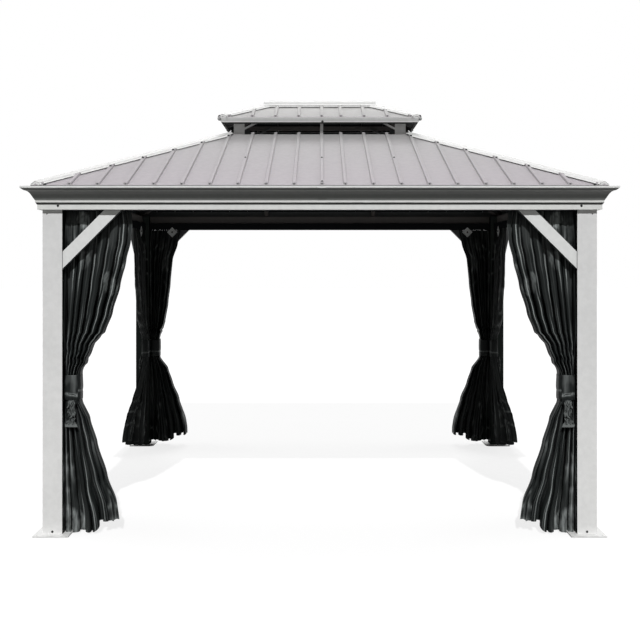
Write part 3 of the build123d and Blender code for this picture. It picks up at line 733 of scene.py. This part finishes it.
# How each panel hangs: height, start and end along the track from the post, middle and half of its depth
# inward from the post's outer face, all in millimetres
hangs = {
    "front": [
        (1990, 6, 408, 75, 8), (1905, 1, 416, 75, 12), (1812, 1, 407, 79, 25), (1693, 1, 374, 83, 28),
        (1533, 1, 334, 76, 37), (1361, 1, 287, 70, 44), (1241, 1, 243, 70, 47), (1224, 1, 220, 70, 47),
        (1161, 5, 174, 69, 48), (1060, 6, 138, 68, 49), (985, 6, 106, 68, 49), (900, 6, 100, 68, 49),
        (822, 6, 101, 68, 49), (770, 5, 128, 68, 52), (709, 1, 155, 67, 54), (537, 1, 201, 67, 57),
        (297, 1, 267, 63, 54), (97, 1, 334, 58, 42), (10, 1, 345, 56, 38),
    ],
    "back": [
        (1990, 6, 285, 75, 8), (1905, 1, 268, 75, 12), (1872, 1, 259, 77, 20), (1712, 1, 208, 82, 28),
        (1495, 1, 186, 74, 40), (1320, 1, 164, 70, 46), (1146, 5, 135, 69, 48), (1050, 6, 108, 68, 49),
        (985, 6, 92, 68, 49), (900, 6, 92, 68, 49), (827, 6, 92, 68, 49), (770, 5, 128, 68, 52),
        (711, 1, 164, 67, 54), (552, 1, 208, 67, 57), (377, 1, 266, 65, 60), (95, 1, 336, 62, 65),
        (10, 1, 342, 62, 66),
    ],
    "side": [
        (1990, 6, 450, 75, 8), (1905, 1, 445, 75, 12), (1740, 1, 425, 82, 26), (1550, 1, 390, 84, 29),
        (1360, 1, 345, 85, 33), (1184, 1, 285, 85, 36), (1080, 8, 190, 94, 34), (985, 12, 106, 102, 32),
        (900, 12, 104, 102, 32), (825, 12, 104, 102, 32), (760, 8, 132, 95, 34), (688, 6, 160, 87, 37),
        (560, 5, 205, 78, 44), (401, 1, 250, 68, 52), (240, 1, 298, 50, 62), (97, 1, 340, 35, 69),
        (10, 1, 352, 29, 73),
    ],
}
# Middle and half of each tied bundle, along the track and inward, in metres
bundles = {
    "front": (0.0535, 0.0475, 0.068, 0.050), "back": (0.0495, 0.0435, 0.068, 0.050),
    "side": (0.058, 0.046, 0.102, 0.032),
}
curtain = {
    "columns": 208, "rows": 124, "top": 1.98595, "hem": 0.011, "crest": 0.94,
    "tieLow": 0.825, "tieHigh": 0.975, "tieFade": 0.17, "round": 4.0, "grip": 4,
    "folds": {"front": 6.5, "back": 6.5, "side": 9.0},
    "flare": {"front": 0.0, "back": 0.0, "side": 0.055},
    # strength of the painted highlights per panel, less on the panels that stand in shade
    "shine": {"front": 1.0, "back": 0.45, "side": 0.6},
    "edgeSide": {"front": -0.9, "back": 0.9, "side": 0.9},
    "hemLift": {"front": (0.0, 0.066), "back": (0.03, 0.055), "side": (0.035, 0.055)},
}
# How the cloth folds, and how strong its painted highlights are: sizes in shares of a fold, depths in metres, and
# pairs for where a change starts and ends
folding = {
    "depth": 0.70, "depthLimits": (0.22, 1.05), "tiedDepth": 0.96, "lean": 0.22, "edge": (0, 0.03),
    "smallTurns": 2.7, "smallShare": 0.34, "smallTied": 0.5, "smallFrom": (-0.15, 0.3),
    # netLight, sheenLight and the lit values set the painted highlights on crumples, sheen patches and fold lines
    "netSharp": 5, "netDepth": 0.005, "netLight": 0.6, "roughFrom": (0.0, 0.4), "looseBelow": 0.15,
    "gatherAt": 0.73, "gatherHalf": 0.10, "sheenFrom": (0.0, 0.4), "sheenLight": 0.10,
    "litLeast": 0.10, "litGain": 2.6, "litShift": 0.12,
    "hemFrom": (0.80, 0.06), "outerFrom": (0.56, 0.66), "cornerFrom": (0.9, 1.0), "cornerLift": 0.012,
    "hemWave": 0.005, "hemTurns": 7, "flareAcross": (0.3, 1.0), "flareDown": (0.70, 0.08), "furthestOut": -0.060,
}
# Crumpled places, by the run of the height and the run across: at the top beside the post, and above the hem
roughPlaces = (((1.62, 1.80), (0.55, 0.25)), ((0.26, 0.1), (0.5, 0.3)))
# Noises of the cloth: waves across and down, own seed and size
ripples = {
    "drift": (2.3, 0.0, 0, 1.05), "driftDown": (3.0, 0.7, 1, 0.45), "depth": (0.8, 0.9, 3, 0.85),
    "smallDrift": (5, 0.8, 4, 0.8), "smallShare": (4, 1.4, 6, 1), "sideways": (4, 0.8, 5, 0.4),
    "rough": (3.2, 2.1, 7, 1), "net": (11, 7, 8, 1), "fine": (30, 9, 9, 0.002),
    # lit, sheen and strapSheen place painted highlights
    "gather": (24, 20, 11, 0.004), "lit": (1.7, 2.6, 12, 1), "sheen": (7, 3.1, 14, 1),
    "highlightPatchEdge": (25, 18, 20, 0.5), "highlightPatchGrain": (40, 22, 21, 1),
    "strapWave": (9, 3, 0, 0.03), "strapFine": (40, 9, 2, 0.012), "strapSag": (5, 1, 4, 0.006),
    "strapSheen": (11, 1.5, 6, 1),
    "tailBend": (1, 5, 0, 0.010), "tailPleat": (2, 4, 1, 1.6), "tailNet": (2.4, 3.4, 3, 1),
}


def ease(low, high, value):
    t = min(max((value - low) / (high - low), 0.0), 1.0)
    return t * t * (3 - 2 * t)


def ripple(name, x, y, seed):
    across, down, ownSeed, size = ripples[name]
    return size * noise.noise(Vector((x * across, y * down, (seed + ownSeed) * 17.31)))


# Smooth run through a table of levels, height first and falling
def hangAt(levels, height):
    last = len(levels) - 1
    index = next((i for i in range(last) if height >= levels[i + 1][0]), last - 1)
    p0, p1 = levels[max(index - 1, 0)], levels[index]
    p2, p3 = levels[index + 1], levels[min(index + 2, last)]
    t = min(max((p1[0] - height) / (p1[0] - p2[0]), 0.0), 1.0)
    values = []
    for a, b, c, d in zip(p0[1:], p1[1:], p2[1:], p3[1:]):
        slopeB, slopeC = (c - a) / 2, (d - b) / 2
        h = t * t * (3 - 2 * t)
        values.append(b + (c - b) * h + slopeB * 0.5 * t * (1 - t) ** 2 - slopeC * 0.5 * t * t * (1 - t))
    return [value / 1000 for value in values]


def tieWeight(z):
    rising = ease(curtain["tieLow"] - curtain["tieFade"], curtain["tieLow"], z)
    falling = 1 - ease(curtain["tieHigh"], curtain["tieHigh"] + curtain["tieFade"], z)
    return rising * falling


# A wave with flat flanks and narrow crests
def creased(turns):
    return math.asin(curtain["crest"] * math.sin(2 * math.pi * turns)) / math.asin(curtain["crest"])


# Patches of painted highlight, which stand in for sun caught where crumpled cloth lies flatter: middle and half along
# the track, middle and half of the height, slant and strength
highlightPatches = (
    (0.040, 0.055, 1.850, 0.100, -0.9, 0.09), (0.112, 0.034, 1.935, 0.050, -0.6, 0.70),
    (0.125, 0.030, 1.690, 0.060, 0.3, 0.24), (0.275, 0.034, 1.535, 0.060, -0.5, 0.30),
    (0.030, 0.050, 0.128, 0.045, -0.5, 0.33), (0.070, 0.050, 0.045, 0.042, 0.2, 0.33),
)


def patchHighlight(a, z, seed):
    total = 0.0
    for alongMiddle, alongHalf, middle, half, slant, strength in highlightPatches:
        p = (a - alongMiddle) / alongHalf
        q = (z - middle - slant * (a - alongMiddle)) / half
        size = (abs(p) ** 3 + abs(q) ** 3) ** (1 / 3) + ripple("highlightPatchEdge", a, z, seed)
        grain = 1 - 0.7 * ease(0.25, 0.0, abs(ripple("highlightPatchGrain", a, z, seed)))
        total = max(total, strength * ease(1.1, 0.85, size) * grain)
    return total


# Where the cloth lies across s and down t, as distance along the track, distance inward and height, and the
# painted highlight there, with the turns of the folds and how strongly their painted highlight lines show
def clothPoint(s, t, kind, seed):
    top, hem = curtain["top"], curtain["hem"]
    z = top - t * (top - hem)
    start, end, middle, half = hangAt(hangs[kind], z * 1000)
    tied = tieWeight(z)
    free = 1 - tied
    folds = curtain["folds"][kind]
    turns = s * folds + ripple("drift", s, z, seed) + ripple("driftDown", s, z, seed) * free
    wave = creased(turns)
    size = folding["depth"] + ripple("depth", turns, z, seed)
    size = min(max(size, folding["depthLimits"][0]), folding["depthLimits"][1])
    size += (folding["tiedDepth"] - size) * tied
    smallTurns = turns * folding["smallTurns"] + ripple("smallDrift", s, z, seed)
    small = creased(smallTurns)
    share = folding["smallShare"] * ease(*folding["smallFrom"], ripple("smallShare", s, z, seed))
    share *= 1 - folding["smallTied"] * tied
    edge = ease(*folding["edge"], s)
    pitch = (end - start) / folds
    lean = folding["lean"] * pitch * math.sin(4 * math.pi * turns) * edge
    a = start + (end - start) * s - lean + pitch * ripple("sideways", s, z, seed) * edge * free
    deep = ((1 - share) * wave * size + share * small) * edge
    w = middle + half * (deep + curtain["edgeSide"][kind] * (1 - edge))
    loose = free * ease(top, top - folding["looseBelow"], z)
    rough = ease(*folding["roughFrom"], ripple("rough", s, z, seed))
    for down, along in roughPlaces:
        rough = max(rough, ease(*down, z) * ease(*along, s))
    net = max(0.0, 1 - folding["netSharp"] * abs(ripple("net", s, z, seed))) * rough * loose
    w += folding["netDepth"] * net + ripple("fine", s, z, seed) * loose
    w += ripple("gather", s, z, seed) * max(0.0, 1 - abs(z - folding["gatherAt"]) / folding["gatherHalf"])
    # painted highlight: strength of the lines along the folds, and painted highlights on crumples, sheen patches and
    # highlight patches
    lit = folding["litLeast"] + folding["litGain"] * max(0.0, ripple("lit", turns, z, seed) + folding["litShift"])
    lit = min(lit, 1.0) * size * curtain["shine"][kind]
    ridge = folding["netLight"] * net ** 2
    ridge += folding["sheenLight"] * ease(*folding["sheenFrom"], ripple("sheen", s, z, seed)) * loose
    if kind == "front":
        ridge += patchHighlight(a, z, seed)
    low, outer = curtain["hemLift"][kind]
    lift = low + outer * ease(*folding["outerFrom"], s) + folding["cornerLift"] * ease(*folding["cornerFrom"], s)
    lift += folding["hemWave"] * math.sin(folding["hemTurns"] * turns)
    flare = curtain["flare"][kind] * ease(*folding["flareAcross"], s)
    w = max(w - flare * ease(*folding["flareDown"], z), folding["furthestOut"])
    a = min(max(a, start), end)
    z += max(lift, 0.0) * ease(*folding["hemFrom"], z)
    return a, w, z, min(ridge, 1.0), (turns, smallTurns, lit)


# Rounds the bundle where the strap holds it
def squeeze(a, w, kind, amount):
    middleA, halfA, middleW, halfW = bundles[kind]
    p, q = (a - middleA) / halfA, (w - middleW) / halfW
    power = curtain["round"]
    reach = max((abs(p) ** power + abs(q) ** power) ** (1 / power), 1e-6)
    widest = max(abs(p), abs(q), 1e-6)
    pull = 1 + (min(widest / reach, 1.0) * min(1.0, 1 / widest) - 1) * amount
    return middleA + p * pull * halfA, middleW + q * pull * halfW


def cornerPlace(a, w, z, sx, sy, kind):
    if kind == "side":
        return Vector((sx * (post["outerX"] - w), sy * (post["outerY"] - post["side"] - a), z))
    return Vector((sx * (post["outerX"] - post["side"] - a), sy * (post["outerY"] - w), z))


# One piece of cloth. shaped gives the place, the painted highlight and the pleats for s across and t up
def clothPiece(name, finish, columns, rows, shaped, thick=None):
    bm = bmesh.new()
    bm.loops.layers.uv.new("UVMap")
    bmesh.ops.create_grid(bm, x_segments=columns, y_segments=rows, size=0.5, calc_uvs=True)
    # the layer made here holds the painted highlight
    crest = bm.verts.layers.float.new("ridge")
    pleats = bm.verts.layers.float_vector.new("pleats")
    for vert in bm.verts:
        vert.co, vert[crest], vert[pleats] = shaped(vert.co.x + 0.5, vert.co.y + 0.5)
    bmesh.ops.recalc_face_normals(bm, faces=bm.faces)
    piece = newPiece(name, bm, finish)
    if thick:
        piece.modifiers.new("cloth thickness", "SOLIDIFY").thickness = thick
    return piece


def curtainPanel(name, sx, sy, kind, seed):
    def shaped(s, t):
        a, w, z, ridge, pleats = clothPoint(s, 1 - t, kind, seed)
        a, w = squeeze(a, w, kind, tieWeight(z) ** curtain["grip"])
        return cornerPlace(a, w, z, sx, sy, kind), ridge, pleats
    return clothPiece(name, finishes["curtain"], curtain["columns"], curtain["rows"], shaped)


# Strap round the bundle that laps over itself on the outer side. s runs along it and t up it
tieBand = {
    "columns": 130, "rows": 24, "low": 0.824, "high": 0.976, "lap": 0.9, "turned": 0.35,
    "gap": 1.0, "loosens": 0.05, "bulge": 0.04, "foldDepth": 0.04, "puckerDepth": 0.03, "droop": 0.03,
    "nearest": 0.0015, "thick": 0.0016,
    # strengths of painted highlights on the strap's fold, strip, sheen and pucker
    "light": {"fold": 0.6, "strip": 0.22, "sheen": 0.12, "pucker": 0.5},
}


def tieStrap(name, sx, sy, kind, seed):
    middleA, halfA, middleW, halfW = bundles[kind]
    power = 2 / curtain["round"]
    light = tieBand["light"]

    def shaped(s, t):
        angle = -0.5 * math.pi + s * (2 * math.pi + tieBand["lap"]) - tieBand["turned"]
        across, deep = math.cos(angle), math.sin(angle)
        across = math.copysign(abs(across) ** power, across)
        deep = math.copysign(abs(deep) ** power, deep)
        bulge = tieBand["gap"] + tieBand["loosens"] * s + tieBand["bulge"] * math.sin(math.pi * t)
        bulge += ripple("strapWave", s, t, seed) + ripple("strapFine", s, t, seed)
        fold = math.exp(-(((t - 0.32 - 0.05 * math.sin(5 * s + seed)) / 0.035) ** 2))
        pucker = math.exp(-(((t - 0.25 - 1.1 * (s - 0.9)) / 0.05) ** 2)) * ease(0.8, 0.95, s)
        bulge -= tieBand["foldDepth"] * fold + tieBand["puckerDepth"] * pucker
        z = tieBand["low"] + (tieBand["high"] - tieBand["low"]) * t
        z += ripple("strapSag", s, 0.3, seed) - tieBand["droop"] * ease(0.86, 1.0, s) * (1 - t)
        a, w = middleA + halfA * across * bulge, middleW + halfW * deep * bulge
        place = cornerPlace(max(a, tieBand["nearest"]), w, z, sx, sy, kind)
        # painted highlights: a strip on the outer face, sheen patches, and the fold and pucker
        strip = ease(-0.2, 0.1, across) * ease(0.6, 0.35, across) * ease(0.30, 0.42, t) * (deep < 0)
        sheen = ease(0.1, 0.5, ripple("strapSheen", s, t, seed))
        lit = light["fold"] * fold + light["strip"] * strip + light["sheen"] * sheen + light["pucker"] * pucker
        return place, lit, (0, 0, 0)
    return clothPiece(name, finishes["tie"], tieBand["columns"], tieBand["rows"], shaped, tieBand["thick"])


# The strap's loose end, crumpled, with a narrow hem across its tip
tieEnd = {
    "columns": 36, "rows": 60, "top": 0.825, "end": 0.660, "wide": 0.075, "widths": (0.55, 0.25, 0.2), "aside": 0.002,
    "pleats": 2.2, "netSharp": 3, "hemFrom": (0.86, 0.9), "past": 1.12, "off": 0.004, "bow": 0.008,
    "pleatDepth": 0.007, "netDepth": 0.006, "hemDepth": 0.004, "nearest": 0.003,
    # strengths of painted highlights on the crumples, pleats and hem
    "light": {"net": 0.42, "pleat": 0.2, "hem": 0.6},
}


def tieTail(name, sx, sy, kind, seed):
    middleA, _, middleW, halfW = bundles[kind]
    narrow, wider, hemWider = tieEnd["widths"]
    light = tieEnd["light"]

    def shaped(s, up):
        t = 1 - up
        z = tieEnd["top"] + t * (tieEnd["end"] - tieEnd["top"])
        wide = tieEnd["wide"] * (narrow + wider * t + hemWider * ease(0.82, 0.9, t))
        a = middleA + tieEnd["aside"] + (s - 0.5) * wide + ripple("tailBend", 0.3, t, seed)
        pleat = creased(tieEnd["pleats"] * s + ripple("tailPleat", s, t, seed))
        net = max(0.0, 1 - tieEnd["netSharp"] * abs(ripple("tailNet", s, t, seed)))
        band = ease(*tieEnd["hemFrom"], t)
        w = middleW - halfW * tieEnd["past"] - tieEnd["off"] - tieEnd["bow"] * math.sin(math.pi * t)
        w -= (tieEnd["pleatDepth"] * pleat + tieEnd["netDepth"] * net) * (1 - band) + tieEnd["hemDepth"] * band
        # painted highlights on the crumples and pleats, and along the hem
        crumpleHighlight = light["net"] * net + light["pleat"] * ease(0.7, 1, abs(pleat))
        lit = crumpleHighlight * (1 - band) + light["hem"] * ease(0.87, 0.9, t)
        return cornerPlace(max(a, tieEnd["nearest"]), w, z, sx, sy, kind), lit, (0, 0, 0)
    return clothPiece(name, finishes["tie"], tieEnd["columns"], tieEnd["rows"], shaped, tieBand["thick"])


# The panels sag and crumple under their own weight between the track and the straps
sag = {
    "frames": 16, "hold": 0.25, "topHeld": 0.03, "tiedHeld": 0.7,
    "spare": 0.004, "reach": 0.010, "quality": 5, "mass": 0.15, "bend": 0.15,
}


def settle(panels):
    hung = []
    for panel in panels:
        mesh = panel.data
        start = numpy.empty(len(mesh.vertices) * 3)
        mesh.vertices.foreach_get("co", start)
        start = start.reshape(-1, 3)
        tied = numpy.array([tieWeight(z) for z in start[:, 2]])
        fixed = (start[:, 2] > curtain["top"] - sag["topHeld"]) | (tied > sag["tiedHeld"])
        held = panel.vertex_groups.new(name="held")
        held.add([int(i) for i in numpy.nonzero(fixed)[0]], 1.0, "REPLACE")
        held.add([int(i) for i in numpy.nonzero(~fixed)[0]], sag["hold"], "REPLACE")
        cloth = panel.modifiers.new("hang", "CLOTH")
        settings = cloth.settings
        settings.quality = sag["quality"]
        settings.mass = sag["mass"]
        settings.bending_stiffness = sag["bend"]
        settings.shrink_min = -sag["spare"]
        settings.vertex_group_mass = held.name
        settings.pin_stiffness = 1.0
        cloth.collision_settings.use_collision = False
        cloth.point_cache.frame_start = 1
        cloth.point_cache.frame_end = sag["frames"]
        hung.append((panel, cloth, held, start))
    for frameNumber in range(1, sag["frames"] + 1):
        scene.frame_set(frameNumber)
    depsgraph = bpy.context.evaluated_depsgraph_get()
    for panel, cloth, held, start in hung:
        end = numpy.empty(start.size)
        panel.evaluated_get(depsgraph).data.vertices.foreach_get("co", end)
        move = end.reshape(-1, 3) - start
        length = numpy.linalg.norm(move, axis=1, keepdims=True)
        move *= numpy.minimum(1.0, sag["reach"] / numpy.maximum(length, 1e-9))
        panel.data.vertices.foreach_set("co", (start + move).ravel())
        panel.modifiers.remove(cloth)
        panel.vertex_groups.remove(held)
        panel.data.update()
        print(panel.name, "moved at most", round(float(length.max()) * 1000, 1), "mm")
    scene.frame_set(1)


panelSeeds = {"frontLeft": 1.0, "frontRight": 1.0, "backLeft": 3.0, "backRight": 3.0}  # left and right alike
panels = []
for corner, (sx, sy) in corners.items():
    nodeCorner = corner.replace("Left", "_left").replace("Right", "_right")
    kinds = {"along": "front" if sy < 0 else "back", "aside": "side"}
    for offset, (part, kind) in enumerate(kinds.items()):
        seed = panelSeeds[corner] + 0.5 * offset
        panel = curtainPanel(f"curtain_{corner}_{part}", sx, sy, kind, seed)
        panels.append(panel)
        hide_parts(f"curtain_{nodeCorner}")
        strap = tieStrap(f"tie_{corner}_{part}", sx, sy, kind, seed)
        tail = tieTail(f"tieTail_{corner}_{part}", sx, sy, kind, seed)
        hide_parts("curtain_ties")
        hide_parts("curtain_ties")
settle(panels)
print("curtains made")
